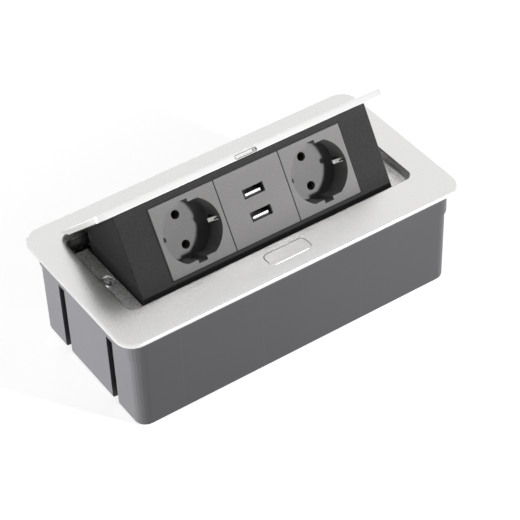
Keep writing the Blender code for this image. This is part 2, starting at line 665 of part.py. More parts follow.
def make_lid(pivot):
    """Plate with a thin tapered tail and the catch notch in its front edge, in the shut pose."""
    up = HINGE_DROP
    y0, y1 = LID_FRONT - HINGE_Y, LID_BACK - HINGE_Y
    levels = ((-LID_THICK, 0.0004), (-LID_THICK + 0.0004, 0.0), (-0.0008, 0.0), (-0.0005, 0.00012),
              (-0.0002, 0.0004), (0.0, 0.0008))
    body = loft([rounded(-LID_HALF, LID_HALF, y0, y1, LID_CORNER, up + z, inset) for z, inset in levels])
    s0, s1 = y0 + LID_TAPER_START, y0 + LID_TAPER_END
    low = []
    for k in range(7):
        t = k / 6
        drop = LID_THICK + (LID_TAIL_THICK - LID_THICK) * t ** 1.4
        low.append((s0 + (s1 - s0) * t, up - drop))
    under = [(s0, up - LID_THICK - 0.002)] + low + [(y1 + 0.002, up - LID_TAIL_THICK),
                                                   (y1 + 0.002, up - LID_THICK - 0.002)]
    # Both ends of the outline are on one side of the plate, so the tool starts just below the plate
    under[1] = (s0, up - LID_THICK - 0.0001)
    r = NOTCH_HEIGHT / 2
    z = up - LATCH_DROP
    slot = []
    for k in range(7):
        a = math.radians(-90 + 180 * k / 6)
        slot.append((NOTCH_HALF - r + r * math.cos(a), z + r * math.sin(a)))
    for k in range(7):
        a = math.radians(90 + 180 * k / 6)
        slot.append((-NOTCH_HALF + r + r * math.cos(a), z + r * math.sin(a)))
    cut(body, prism_x(under, -LID_HALF - 0.002, LID_HALF + 0.002), prism_y(slot, y0 - 0.002, y0 + NOTCH_DEPTH))
    finish(body, "lid", "silver", pivot)


def cheek_outline():
    """Side outline of the socket block in the panel plane, from the shut pose."""
    tail = [to_panel(HINGE_Y - ARM_BOSS_R * math.cos(math.radians(t)),
                     HINGE_DROP - ARM_BOSS_R * math.sin(math.radians(t))) for t in range(0, 271, 30)]
    top = LID_THICK + CLEARANCE - 0.0005
    half = 0.5 * MODULE_HEIGHT
    corner_v = half + PANEL_TOP_BORDER
    low_v = -half - PANEL_LOW_BORDER + 0.0004
    back = [to_panel(CHEEK_ROOF_BACK, top)] + [to_panel(y, drop) for y, drop in CHEEK_BACK]
    lower = [to_panel(y, drop) for y, drop in CHEEK_LOWER]
    front = [(low_v, -0.0010), (corner_v - 0.0004, -0.0010)]
    return front + [to_panel(-0.0240, top)] + back + tail + lower


def make_carrier(pivot):
    """Front panel, roof and both cheeks, with the arms that reach the hinge."""
    half = 0.5 * MODULE_HEIGHT
    top_v, low_v = half + PANEL_TOP_BORDER, -half - PANEL_LOW_BORDER
    body = loft([[(x, y, z) for x, y in ((-PANEL_HALF + i, low_v + i), (PANEL_HALF - i, low_v + i),
                                         (PANEL_HALF - i, top_v - i), (-PANEL_HALF + i, top_v - i))]
                 for z, i in ((-PANEL_THICK, 0.0), (-0.0003, 0.0), (0.0, 0.0003))])
    outline = cheek_outline()
    parts = []
    for side in (-1, 1):
        x0, x1 = sorted((side * (PANEL_HALF - CHEEK_THICK), side * (PANEL_HALF - 0.0002)))
        parts.append(prism_x(outline, x0, x1))
    top = LID_THICK + CLEARANCE
    roof = [to_panel(y, top + drop) for y, drop in ((-0.0238, -0.0004), (0.0200, -0.0004), (0.0200, ROOF_THICK),
                                                    (-0.0238, ROOF_THICK))]
    parts.append(prism_x(roof, -PANEL_HALF + 0.0005, PANEL_HALF - 0.0005))
    add(body, *parts)
    # Everything is trimmed to the plane of the lid's underside
    trim = [to_panel(y, drop) for y, drop in ((-0.0400, top), (0.0400, top), (0.0400, top - 0.004),
                                              (-0.0400, top - 0.004))]
    tools = [prism_x(trim, -PANEL_HALF - 0.001, PANEL_HALF + 0.001)]
    row = SOCKET_WIDTH + USB_WIDTH / 2
    tools.append(box(-row - 0.00025, row + 0.00025, -half - 0.00025, half + 0.00025, -PANEL_THICK - 0.001, 0.002))
    for side in (-1, 1):
        bore = turned([(0, -0.01), (PIN_R + PIN_CLEARANCE, -0.01), (PIN_R + PIN_CLEARANCE, 0.01), (0, 0.01)])
        v, w = to_panel(HINGE_Y, HINGE_DROP)
        tools.append(lay_along_x(bore, side * PANEL_HALF, v, w))
    cut(body, *tools)
    finish(body, "socket_carrier", "black_plastic", pivot)


def make_rear_cover(pivot):
    half = COVER_THICK / 2
    low_v = -0.5 * MODULE_HEIGHT - PANEL_LOW_BORDER
    path = [to_panel(COVER_START, LID_THICK + 2 * CLEARANCE + ROOF_THICK + 0.8 * half)]
    path += [to_panel(y, drop) for y, drop in COVER_BEND]
    path.append((low_v + half + 0.0002, -PANEL_THICK - 2 * CLEARANCE))
    x = PANEL_HALF - CHEEK_THICK - CLEARANCE
    finish(prism_x(strip(path, COVER_THICK), -x, x), "rear_cover", "black_plastic", pivot)


def make_socket(pivot, centre, tag):
    half = 0.5 * MODULE_HEIGHT
    wide = SOCKET_WIDTH / 2 - 0.00015
    body = loft([rounded(-wide, wide, -half, half, 0.0006, z, inset)
                 for z, inset in ((FACE_PROUD - FACE_THICK, 0), (FACE_PROUD - 0.0003, 0), (FACE_PROUD, 0.0003))])
    floor = FACE_PROUD - RECESS_DEPTH
    back = floor - CUP_FLOOR
    block = back - CONTACT_SETBACK - CONTACT_LENGTH - 0.0005
    add(body, cylinder(CUP_R, back, FACE_PROUD - FACE_THICK + 0.001, sides=48),
        box(-0.0075, 0.0075, -0.0155, 0.0155, block, back + 0.001))
    # Round recess with a flat above and below, and a guide notch in the middle of each flat
    recess = cylinder(RECESS_R, floor, 0.004, sides=48)
    flats, tools = [], []
    for s in (-1, 1):
        y0, y1 = sorted((s * (RECESS_R - FLAT_INWARD), s * (RECESS_R + 0.001)))
        flats.append(box(-RECESS_R - 0.001, RECESS_R + 0.001, y0, y1, floor - 0.001, 0.005))
        y0, y1 = sorted((s * (RECESS_R - FLAT_INWARD - 0.001), s * (RECESS_R - 0.0002)))
        tools.append(box(-GUIDE_HALF, GUIDE_HALF, y0, y1, floor - 0.0001, 0.0045))
    cut(recess, *flats)
    cut(body, recess)
    for s in (-1, 1):
        v = s * PIN_PITCH / 2
        bore = CONTACT_R + CLEARANCE
        tools.append(turned([(0, block - 0.001), (bore, block - 0.001), (bore, back - 0.0002),
                             (PIN_HOLE_R, back - 0.0002), (PIN_HOLE_R, floor + 0.001), (0, floor + 0.001)],
                            (0, v, 0), 24))
        x0, x1 = sorted((s * (RECESS_R - 0.002), s * (RECESS_R + 0.0015)))
        tools.append(box(x0, x1, -CLIP_HALF - CLIP_SIDE_GAP, CLIP_HALF + CLIP_SIDE_GAP, floor - 0.0003, -0.0028))
    cut(body, *tools)
    finish(body, "socket_" + tag, "module_plastic", pivot)
    pieces = [body]

    for s, mark in ((1, "top"), (-1, "low")):
        seat = back - CONTACT_SETBACK
        end = seat - CONTACT_LENGTH + 0.0008
        profile = [(0, end), (CONTACT_R, end), (CONTACT_R, seat), (CONTACT_BORE_R, seat),
                   (CONTACT_BORE_R, end + 0.0015), (0, end + 0.0015)]
        sleeve = turned(profile, (0, s * PIN_PITCH / 2, 0), 24)
        pieces.append(finish(sleeve, "contact_" + tag + "_" + mark, "brass", pivot))
    for s, mark in ((-1, "in"), (1, "out")):
        nose = RECESS_R - CLIP_REACH
        outer = RECESS_R + 0.0007
        path = [(outer, -0.0033), (outer - 0.0002, -0.0044), (nose + 0.0014, -0.0072), (nose, -0.0077),
                (nose + 0.0003, -0.0096), (outer, -0.0138), (outer, floor + 0.0001)]
        outline = strip([(s * x, w) for x, w in path], CLIP_THICK)
        clip = loft([[(x, v, w) for x, w in outline] for v in (-CLIP_HALF, CLIP_HALF)])
        pieces.append(finish(clip, "earth_clip_" + tag + "_" + mark, "steel", pivot))
    for piece in pieces:
        piece.location.x = centre


def make_usb(pivot):
    half = 0.5 * MODULE_HEIGHT
    wide = USB_WIDTH / 2 - 0.00015
    body = loft([rounded(-wide, wide, -half, half, 0.0006, z, inset)
                 for z, inset in ((FACE_PROUD - FACE_THICK, 0), (FACE_PROUD - 0.0003, 0), (FACE_PROUD, 0.0003))])
    back = -SHELL_LENGTH + 0.0004
    add(body, box(-0.0140, 0.0140, -0.0155, 0.0155, back, FACE_PROUD - FACE_THICK + 0.001))
    tools = []
    for v in PORT_OFFSETS:
        hx, hv = PORT_HALF_X + 0.00025, PORT_HALF_V + 0.00025
        tools.append(loft([rounded(-hx, hx, v - hv, v + hv, 0.0006, z, 0.0) for z in (back - 0.002, 0.002)]))
    cut(body, *tools)
    finish(body, "usb_module", "module_plastic", pivot)

    for v, mark in zip(PORT_OFFSETS, ("top", "low")):
        hx, hv = PORT_HALF_X, PORT_HALF_V
        shell = loft([rounded(-hx, hx, v - hv, v + hv, 0.0006, z, 0.0) for z in (-SHELL_LENGTH, -SHELL_SETBACK)])
        hx, hv = hx - SHELL_WALL, hv - SHELL_WALL
        cut(shell, box(-hx, hx, v - hv, v + hv, -SHELL_LENGTH - 0.001, 0.001))
        finish(shell, "usb_shell_" + mark, "steel", pivot)
        base = box(-hx + CLEARANCE, hx - CLEARANCE, v - hv + CLEARANCE, v + hv - CLEARANCE,
                   -SHELL_LENGTH + 0.0002, -0.0130)
        tongue = box(-TONGUE_HALF, TONGUE_HALF, v - 0.0004 - TONGUE_THICK, v - 0.0004, -0.0135, -TONGUE_SETBACK)
        add(base, tongue)
        finish(base, "usb_tongue_" + mark, "white_plastic", pivot)
    board = box(-0.0150, 0.0150, -0.0165, 0.0165, -SHELL_LENGTH - CLEARANCE - 0.0016, -SHELL_LENGTH - CLEARANCE)
    finish(board, "usb_board", "green_board", pivot)


for old in list(bpy.data.objects):
    bpy.data.objects.remove(old)

tilt_pivot = empty("tilt_pivot", (0, HINGE_Y, HEIGHT - HINGE_DROP), -OPEN_ANGLE)
row_y, row_z = panel_origin()
panel_pivot = empty("panel_axes", (0, row_y, row_z), PANEL_TILT + OPEN_ANGLE, tilt_pivot)
button_pivot = empty("button_pivot", (0, BUTTON_Y, HEIGHT))
latch_pivot = empty("latch_pivot", (0, -0.0440, HEIGHT))

make_frame()
make_frame_screws()
make_housing()
make_cord_inlet()
make_button(button_pivot)
make_latch(latch_pivot)
make_hinge()
make_lid(tilt_pivot)
make_carrier(panel_pivot)
make_rear_cover(panel_pivot)
socket_x = USB_WIDTH / 2 + SOCKET_WIDTH / 2
make_socket(panel_pivot, -socket_x, "l")
make_socket(panel_pivot, socket_x, "r")
make_usb(panel_pivot)
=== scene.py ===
import math

import bmesh
import bpy
from mathutils import Euler, Matrix, Vector


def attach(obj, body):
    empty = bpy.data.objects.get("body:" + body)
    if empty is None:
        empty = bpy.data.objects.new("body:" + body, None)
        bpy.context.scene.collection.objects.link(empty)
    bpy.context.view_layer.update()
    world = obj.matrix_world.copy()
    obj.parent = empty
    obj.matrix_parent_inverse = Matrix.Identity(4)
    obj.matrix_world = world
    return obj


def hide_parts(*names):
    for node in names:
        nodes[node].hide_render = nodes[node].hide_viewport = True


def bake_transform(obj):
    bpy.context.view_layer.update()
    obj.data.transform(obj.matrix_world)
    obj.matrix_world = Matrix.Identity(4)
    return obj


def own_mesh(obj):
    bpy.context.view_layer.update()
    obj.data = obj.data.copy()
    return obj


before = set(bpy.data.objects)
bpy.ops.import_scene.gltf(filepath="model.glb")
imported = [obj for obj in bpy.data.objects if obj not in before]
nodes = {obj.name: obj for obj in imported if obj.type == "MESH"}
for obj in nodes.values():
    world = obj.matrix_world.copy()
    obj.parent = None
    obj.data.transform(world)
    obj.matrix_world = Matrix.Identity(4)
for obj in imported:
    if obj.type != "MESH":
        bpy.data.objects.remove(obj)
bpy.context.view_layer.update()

scene = bpy.context.scene
scene.view_settings.view_transform = "Standard"


# Camera: a long lens, so that the module's long edges hardly run together. It stands at the front left,
# well above the table, and leans by less than two degrees.
camera_data = bpy.data.cameras.new("camera")
camera_data.sensor_width = 36.0
camera_data.lens = 139.3
camera_data.clip_start = 0.05
camera_data.clip_end = 20.0
camera = bpy.data.objects.new("camera", camera_data)
camera.location = (-0.49626, -0.77841, 0.858794)
camera.rotation_euler = Euler([math.radians(a) for a in (48.1272, 1.6766, -34.5523)], "XYZ")
scene.collection.objects.link(camera)
scene.camera = camera


# Studio: a white table top under an even white surround. Both are white to the eye and in reflections,
# but light the module only weakly, so that the sockets keep their shade. The table's glow is painted a
# little lower near the module, as painted shade round it, and the faint shadow that falls there shows in
# it.
def new_material(name):
    """A new material, with its nodes and its surface shader."""
    surface = bpy.data.materials.new(name)
    surface.use_nodes = True
    return surface, surface.node_tree, surface.node_tree.nodes["Principled BSDF"]


def calc(tree, operation, *terms):
    """One step of arithmetic in a material. A term is a number or another node's output."""
    step = tree.nodes.new("ShaderNodeMath")
    step.operation = operation
    for slot, term in zip(step.inputs, terms):
        if isinstance(term, float):
            slot.default_value = term
        else:
            tree.links.new(term, slot)
    return step.outputs[0]


def remap(tree, value, low, high, start=0.0, stop=1.0, ease="LINEAR"):
    """Spread a value that runs from start to stop over low to high, and hold it there."""
    spread = tree.nodes.new("ShaderNodeMapRange")
    spread.interpolation_type = ease
    spread.inputs["From Min"].default_value = start
    spread.inputs["From Max"].default_value = stop
    spread.inputs["To Min"].default_value = low
    spread.inputs["To Max"].default_value = high
    tree.links.new(value, spread.inputs["Value"])
    return spread.outputs["Result"]


def studio_sheet(name, half, surface):
    """A flat square sheet that belongs to the studio and not to the module."""
    bm = bmesh.new()
    bmesh.ops.create_grid(bm, x_segments=1, y_segments=1, size=half)
    data = bpy.data.meshes.new(name)
    bm.to_mesh(data)
    bm.free()
    data.materials.append(surface)
    sheet = bpy.data.objects.new(name, data)
    scene.collection.objects.link(sheet)
    return sheet


floor_half, floor_z = 3.0, -0.0004
near_reach, far_reach, near_glow_painted_shade = 0.25, 0.60, 0.75
table_white, tree, shader = new_material("table_white")
shader.inputs["Base Color"].default_value = (0.55, 0.55, 0.55, 1)
shader.inputs["Roughness"].default_value = 0.9
shader.inputs["Specular IOR Level"].default_value = 0.1
rays = tree.nodes.new("ShaderNodeLightPath")
seen = calc(tree, "MAXIMUM", rays.outputs["Is Camera Ray"], rays.outputs["Is Glossy Ray"])
place = tree.nodes.new("ShaderNodeTexCoord")
reach = tree.nodes.new("ShaderNodeVectorMath")
reach.operation = "LENGTH"
tree.links.new(place.outputs["Object"], reach.inputs[0])
# The table's glow is painted lower near the module: painted shade round it.
glow_with_painted_shade = remap(tree, reach.outputs["Value"], near_glow_painted_shade, 1.0, near_reach, far_reach, "SMOOTHSTEP")
glow = tree.nodes.new("ShaderNodeEmission")
tree.links.new(calc(tree, "MULTIPLY", seen, glow_with_painted_shade), glow.inputs["Strength"])
both = tree.nodes.new("ShaderNodeAddShader")
tree.links.new(shader.outputs[0], both.inputs[0])
tree.links.new(glow.outputs[0], both.inputs[1])
tree.links.new(both.outputs[0], tree.nodes["Material Output"].inputs["Surface"])
studio_sheet("floor", floor_half, table_white).location.z = floor_z

world = bpy.data.worlds.new("studio")
scene.world = world
world.use_nodes = True
tree = world.node_tree
surround_light = tree.nodes["Background"]
surround_light.inputs["Color"].default_value = (0.97, 0.985, 1.0, 1)
surround_light.inputs["Strength"].default_value = 0.03
surround_white = tree.nodes.new("ShaderNodeBackground")
surround_white.inputs["Color"].default_value = (1, 1, 1, 1)
surround_white.inputs["Strength"].default_value = 1.0
rays = tree.nodes.new("ShaderNodeLightPath")
seen = calc(tree, "MAXIMUM", rays.outputs["Is Camera Ray"], rays.outputs["Is Glossy Ray"])
seen = calc(tree, "MAXIMUM", seen, rays.outputs["Is Transmission Ray"])
pick = tree.nodes.new("ShaderNodeMixShader")
tree.links.new(seen, pick.inputs[0])
tree.links.new(surround_light.outputs[0], pick.inputs[1])
tree.links.new(surround_white.outputs[0], pick.inputs[2])
tree.links.new(pick.outputs[0], tree.nodes["World Output"].inputs["Surface"])


# Lamps: the key is a small soft box at the front right. Three low strips, one on each side and one behind,
# light the housing's ends and back and aren't mirrored in the metal. A black card, which only casts a
# shadow, keeps the left strip off the socket block.
def soft_box(name, spot, aim, size, power, mirrored=True):
    """A flat soft lamp at a spot, turned to its aim."""
    lamp = bpy.data.lights.new(name, "AREA")
    lamp.shape = "RECTANGLE"
    lamp.size, lamp.size_y = size
    lamp.energy = power
    obj = bpy.data.objects.new(name, lamp)
    obj.location = spot
    obj.rotation_euler = (Vector(aim) - Vector(spot)).to_track_quat("-Z", "Y").to_euler()
    obj.visible_glossy = mirrored
    scene.collection.objects.link(obj)


key_aim, key_reach = Vector((0.0, -0.02, 0.10)), 0.80
key_way = Vector((0.44, -0.84, 0.32)).normalized()
strip_size = (0.5, 0.05)
soft_box("key_box", key_aim + key_reach * key_way, key_aim, (0.075, 0.075), 5.9)
soft_box("left_strip", (-0.62, 0.12, 0.03), (-0.11, 0.0, 0.03), strip_size, 10.0, mirrored=False)
soft_box("right_strip", (0.66, -0.04, 0.03), (0.11, 0.0, 0.03), strip_size, 7.0, mirrored=False)
soft_box("back_strip", (0.05, 0.62, 0.03), (0.0, 0.06, 0.03), strip_size, 7.0, mirrored=False)

card_x, card_low, card_half = -0.1240, 0.0726, 0.15
card_black, _, shader = new_material("card_black")
shader.inputs["Base Color"].default_value = (0.01, 0.01, 0.01, 1)
card = studio_sheet("black_card", card_half, card_black)
card.rotation_euler.y = math.radians(90)
card.location = (card_x, 0.0, card_low + card_half)
card.visible_camera = False
card.visible_glossy = False
card.visible_diffuse = False
card.visible_transmission = False


# Housing: a deep box moulded in grey plastic with a fine spark-eroded grain, open at the top. Its faint
# lighter mould seams are a painted sheen, and the grooves in its ends have floors of painted shade.
def dress(node, surface):
    """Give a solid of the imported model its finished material."""
    data = nodes[node].data
    data.materials.clear()
    data.materials.append(surface)


def speckle(tree, scale, detail=2.0):
    """Even noise on the piece's own coordinates, with that many cells to the metre."""
    place = tree.nodes.new("ShaderNodeTexCoord")
    noise = tree.nodes.new("ShaderNodeTexNoise")
    noise.inputs["Scale"].default_value = scale
    noise.inputs["Detail"].default_value = detail
    tree.links.new(place.outputs["Object"], noise.inputs["Vector"])
    return noise.outputs["Fac"]


def coordinates(tree):
    """The X, Y and Z of a point on the piece."""
    place = tree.nodes.new("ShaderNodeTexCoord")
    split = tree.nodes.new("ShaderNodeSeparateXYZ")
    tree.links.new(place.outputs["Object"], split.inputs[0])
    return split.outputs


def shaded(tree, colour, amount):
    """A colour, or another node's colour, made darker or lighter by an amount."""
    mix = tree.nodes.new("ShaderNodeVectorMath")
    mix.operation = "SCALE"
    if isinstance(colour, tuple):
        mix.inputs[0].default_value = colour
    else:
        tree.links.new(colour, mix.inputs[0])
    tree.links.new(amount, mix.inputs["Scale"])
    return mix.outputs[0]


def relief(tree, height, strength, depth, over=None):
    """The slope of a surface with a small relief, laid over another relief where one is given."""
    bump = tree.nodes.new("ShaderNodeBump")
    bump.inputs["Strength"].default_value = strength
    bump.inputs["Distance"].default_value = depth
    tree.links.new(height, bump.inputs["Height"])
    if over is not None:
        tree.links.new(over, bump.inputs["Normal"])
    return bump.outputs["Normal"]


def moulded(name, colour, roughness, grain_scale, grain_depth, gloss=0.5, spread=0.07):
    """Moulded plastic, whose grain varies its colour by the spread, and its roughness and relief."""
    surface, tree, shader = new_material(name)
    shader.inputs["Specular IOR Level"].default_value = gloss
    grain = speckle(tree, grain_scale, 3.0)
    tint = remap(tree, grain, 1 - spread, 1 + spread, 0.3, 0.7)
    rough = remap(tree, grain, roughness - 0.06, roughness + 0.06)
    tree.links.new(shaded(tree, colour, tint), shader.inputs["Base Color"])
    tree.links.new(rough, shader.inputs["Roughness"])
    tree.links.new(relief(tree, grain, 0.25, grain_depth), shader.inputs["Normal"])
    return surface


mould_seams = (("X", -0.083), ("X", -0.026), ("X", 0.046), ("Y", 0.0))
seam_half, seam_painted_sheen = 0.00022, 0.16
cloud_cells = 22.0
groove_y, groove_half = 0.0272, 0.0036
groove_edge_x, groove_floor_x, groove_shade = 0.1134, 0.1120, 0.35
housing_grey = moulded("housing_grey", (0.078, 0.078, 0.083), roughness=0.5, grain_scale=1800.0,
                       grain_depth=0.0001, gloss=0.35, spread=0.05)
tree = housing_grey.node_tree
shader = tree.nodes["Principled BSDF"]
grained = shader.inputs["Base Color"].links[0].from_socket
at = coordinates(tree)
shade = remap(tree, speckle(tree, cloud_cells), 0.93, 1.07)
# Each mould seam is painted a little lighter: a painted sheen along it.
for axis, seam in mould_seams:
    on_seam = calc(tree, "COMPARE", at[axis], seam, seam_half)
    shade = calc(tree, "MULTIPLY_ADD", on_seam, seam_painted_sheen, shade)
# The floors of the end grooves are painted darker: painted shade in the grooves.
in_groove = calc(tree, "COMPARE", calc(tree, "ABSOLUTE", at["Y"]), groove_y, groove_half)
below_edge = remap(tree, calc(tree, "ABSOLUTE", at["X"]), 0.0, 1.0, groove_edge_x, groove_floor_x)
painted_groove_shade = remap(tree, calc(tree, "MULTIPLY", in_groove, below_edge), 1.0, groove_shade)
whole = shaded(tree, grained, calc(tree, "MULTIPLY", shade, painted_groove_shade))
tree.links.new(whole, shader.inputs["Base Color"])
dress("housing", housing_grey)


# Terminal block and cord grommet: a plain grey moulded block that stands on two pegs inside the housing,
# and a soft black rubber ring pressed into the hole of the back wall.
terminal_grey = moulded("terminal_grey", (0.32, 0.32, 0.31), roughness=0.5, grain_scale=1500.0,
                        grain_depth=0.00005)
dress("terminal_block", terminal_grey)
grommet_rubber = moulded("grommet_rubber", (0.022, 0.022, 0.022), roughness=0.7, grain_scale=1500.0,
                         grain_depth=0.00005)
dress("cord_grommet", grommet_rubber)


# Frame: a cast metal flange with the recess for the lid, painted a fine satin silver. Its top face is
# rubbed smooth before painting, and the recess keeps the stained and coarser skin of the casting.
flange_foot, skin_fade = 0.0705, 0.0025
skin_roughness, skin_stain, skin_pits = 0.06, 1.3, 0.0004


def satin_silver(name, colour, roughness, cast_below=None):
    """Satin metal with a two-scale grain. Below a height it fades into the casting's skin."""
    surface, tree, shader = new_material(name)
    shader.inputs["Metallic"].default_value = 1.0
    grain = speckle(tree, 4200.0)
    fleck = speckle(tree, 1300.0, 1.0)
    tint = remap(tree, calc(tree, "ADD", grain, fleck), 0.96, 1.04, 0.0, 2.0)
    rough = remap(tree, grain, roughness - 0.04, roughness + 0.04)
    slope = relief(tree, grain, 0.08, 0.0001)
    if cast_below is not None:
        skin = remap(tree, coordinates(tree)["Z"], 0.0, 1.0, cast_below, cast_below - skin_fade)
        rough = calc(tree, "MULTIPLY_ADD", skin, skin_roughness, rough)
        stain = calc(tree, "MULTIPLY", calc(tree, "SUBTRACT", fleck, 0.5), skin)
        tint = calc(tree, "MULTIPLY_ADD", stain, skin_stain, tint)
        slope = relief(tree, calc(tree, "MULTIPLY", skin, fleck), 0.8, skin_pits, over=slope)
    tree.links.new(shaded(tree, colour, tint), shader.inputs["Base Color"])
    tree.links.new(rough, shader.inputs["Roughness"])
    tree.links.new(slope, shader.inputs["Normal"])
    return surface


frame_silver = satin_silver("frame_silver", (0.78, 0.775, 0.765), 0.28, cast_below=flange_foot)
dress("frame", frame_silver)


# Frame screws: turned and plated steel, with a pan head and a cross recess. Each sits in a counterbore
# of the frame's ledge, whose edge shows bright where it is broken, and holds the frame on the housing.
def turned_piece(bm, profile, centre):
    """Spin a half outline, given as (radius, height), once round an upright axis."""
    verts = [bm.verts.new((centre[0] + r, centre[1], z)) for r, z in profile]
    edges = [bm.edges.new(pair) for pair in zip(verts, verts[1:])]
    bmesh.ops.spin(bm, geom=verts + edges, cent=(centre[0], centre[1], 0), axis=(0, 0, 1),
                   angle=2 * math.pi, steps=64, use_merge=True)
    bmesh.ops.remove_doubles(bm, verts=bm.verts, dist=1e-6)
    bmesh.ops.recalc_face_normals(bm, faces=bm.faces)


def finish_piece(name, bm, surface, body=None, smooth=True):
    """Make a bmesh a piece with one material, which rides on a body where one is given."""
    data = bpy.data.meshes.new(name)
    bm.to_mesh(data)
    bm.free()
    for face in data.polygons:
        face.use_smooth = smooth
    data.materials.append(surface)
    piece = bpy.data.objects.new(name, data)
    scene.collection.objects.link(piece)
    if body:
        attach(piece, body)
    return piece


def cut_out(piece, cutter):
    """Cut one bmesh's closed shape out of a piece's mesh, and keep the piece's name and material."""
    data = bpy.data.meshes.new("cutter")
    cutter.to_mesh(data)
    cutter.free()
    tool = bpy.data.objects.new("cutter", data)
    scene.collection.objects.link(tool)
    step = piece.modifiers.new("recess", "BOOLEAN")
    step.operation = "DIFFERENCE"
    step.solver = "EXACT"
    step.object = tool
    cut = bpy.data.meshes.new_from_object(piece.evaluated_get(bpy.context.evaluated_depsgraph_get()))
    piece.modifiers.clear()
    old = piece.data
    piece.data = cut
    cut.name = piece.name
    bpy.data.meshes.remove(old)
    bpy.data.objects.remove(tool)
    bpy.data.meshes.remove(data)


def tone(tree, value, dark, light, start=0.0, stop=1.0):
    """A grey or colour between dark and light, as a value runs from start to stop."""
    ramp = tree.nodes.new("ShaderNodeValToRGB")
    for end, spot, colour in zip(ramp.color_ramp.elements, (start, stop), (dark, light)):
        end.position = spot
        end.color = (*colour, 1)
    tree.links.new(value, ramp.inputs["Fac"])
    return ramp.outputs["Color"]


plated_steel, tree, shader = new_material("plated_steel")
shader.inputs["Metallic"].default_value = 1.0
wear = speckle(tree, 1500.0)
tree.links.new(tone(tree, wear, (0.50, 0.50, 0.50), (0.90, 0.90, 0.89), 0.3, 0.7),
               shader.inputs["Base Color"])
tree.links.new(remap(tree, wear, 0.12, 0.3), shader.inputs["Roughness"])

screw_x, screw_y = 0.0965, 0.0015
ledge_top, bore_floor, bore_r = 0.0657, 0.0627, 0.00425
tip_z, point_z, point_r, shank_r = 0.0450, 0.0465, 0.0010, 0.0017
head_seat, head_r, head_high = bore_floor + 0.0003, 0.0040, 0.0020
cross_turn, cross_deep, cross_thin = 25, 0.0022, 0.27
cross_foot, cross_reach = 0.0009, 0.0024
for side, node in ((-1, "frame_screw_l"), (1, "frame_screw_r")):
    centre = (side * screw_x, screw_y)
    bm = bmesh.new()
    turned_piece(bm, [(0, tip_z), (point_r, tip_z), (shank_r, point_z), (shank_r, head_seat),
                      (head_r - 0.0001, head_seat), (head_r, head_seat + 0.0002),
                      (head_r, head_seat + 0.0008), (head_r - 0.0003, head_seat + 0.0013),
                      (head_r - 0.0010, head_seat + 0.0017), (0.0018, head_seat + head_high - 0.00005),
                      (0, head_seat + head_high)], centre)
    screw = finish_piece(node + "_cross", bm, plated_steel, "base")
    for turn in (cross_turn, cross_turn + 90):
        blade = bmesh.new()
        bmesh.ops.create_cone(blade, cap_ends=True, segments=4, radius1=cross_foot, radius2=cross_reach,
                              depth=cross_deep)
        bmesh.ops.rotate(blade, verts=blade.verts, matrix=Matrix.Rotation(math.radians(45), 3, "Z"))
        bmesh.ops.scale(blade, verts=blade.verts, vec=(1.0, cross_thin, 1.0))
        bmesh.ops.rotate(blade, verts=blade.verts, matrix=Matrix.Rotation(math.radians(turn), 3, "Z"))
        bmesh.ops.translate(blade, verts=blade.verts, vec=(*centre, head_seat + head_high))
        cut_out(screw, blade)
    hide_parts(node)

    bm = bmesh.new()
    turned_piece(bm, [(bore_r, ledge_top - 0.0007), (bore_r + 0.0007, ledge_top + 0.00015),
                      (bore_r + 0.0009, ledge_top + 0.0001), (bore_r + 0.00095, ledge_top - 0.0001),
                      (bore_r, ledge_top - 0.0009), (bore_r, ledge_top - 0.0007)], centre)
    finish_piece(node + "_bore_edge", bm, plated_steel, "base")


# Release button and latch: a small plate in the front margin, painted as the frame is, and the dark
# pressed steel slider that the button's wedge draws out of the lid's slot.
def bare_metal(name, colour, roughness):
    """Drawn or pressed metal, even in colour and uneven in polish."""
    surface, tree, shader = new_material(name)
    shader.inputs["Base Color"].default_value = (*colour, 1)
    shader.inputs["Metallic"].default_value = 1.0
    polish = remap(tree, speckle(tree, 900.0), roughness - 0.06, roughness + 0.08)
    tree.links.new(polish, shader.inputs["Roughness"])
    return surface


button_silver = satin_silver("button_silver", (0.755, 0.75, 0.74), 0.28)
dress("release_button", button_silver)
dark_steel = bare_metal("dark_steel", (0.2, 0.2, 0.21), 0.4)
dress("latch_slider", dark_steel)


# Hinge pins and springs: steel pins through the frame's ears, and coils of drawn wire. The coils on the
# pins have one leg under the flange and the other at the socket block. Two more sit at the button and
# the latch.
plain_steel = bare_metal("plain_steel", (0.5, 0.5, 0.51), 0.35)


def coil_piece(name, node, body=None):
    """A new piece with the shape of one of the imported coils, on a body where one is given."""
    bm = bmesh.new()
    bm.from_mesh(nodes[node].data)
    bmesh.ops.remove_doubles(bm, verts=bm.verts, dist=1e-7)
    coil = finish_piece(name, bm, plain_steel, body)
    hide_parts(node)
    return coil


hinge_y, hinge_z = 0.0442, 0.0582
for side, tag in ((-1, "l"), (1, "r")):
    dress("hinge_pin_" + tag, plain_steel)
    coil = coil_piece("torsion_coil_" + tag, "torsion_spring_" + tag)
    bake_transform(coil)

coil = coil_piece("button_coil", "button_spring", "base")
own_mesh(coil)
coil = coil_piece("latch_coil", "latch_spring", "base")
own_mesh(coil)


# Socket block: a black moulded panel with two cheeks and arms to the hinge, and the bent black cover
# that closes it behind the sockets. Both have a matt grain that hardly mirrors anything.
carrier_black = moulded("carrier_black", (0.0225, 0.022, 0.022), roughness=0.8, grain_scale=1100.0,
                        grain_depth=0.00020, gloss=0.38, spread=0.40)
dress("socket_carrier", carrier_black)
dress("rear_cover", carrier_black)


# Inserts: two mains sockets and the USB face between them, moulded in smooth mid grey. They drop into
# the panel's opening with a hair of play, and the thin black line round each is painted shade in that gap.
module_grey = moulded("module_grey", (0.262, 0.257, 0.256), roughness=0.65, grain_scale=1500.0,
                      grain_depth=0.00006, gloss=0.08, spread=0.07)
for node in ("socket_l", "socket_r", "usb_module"):
    dress(node, module_grey)
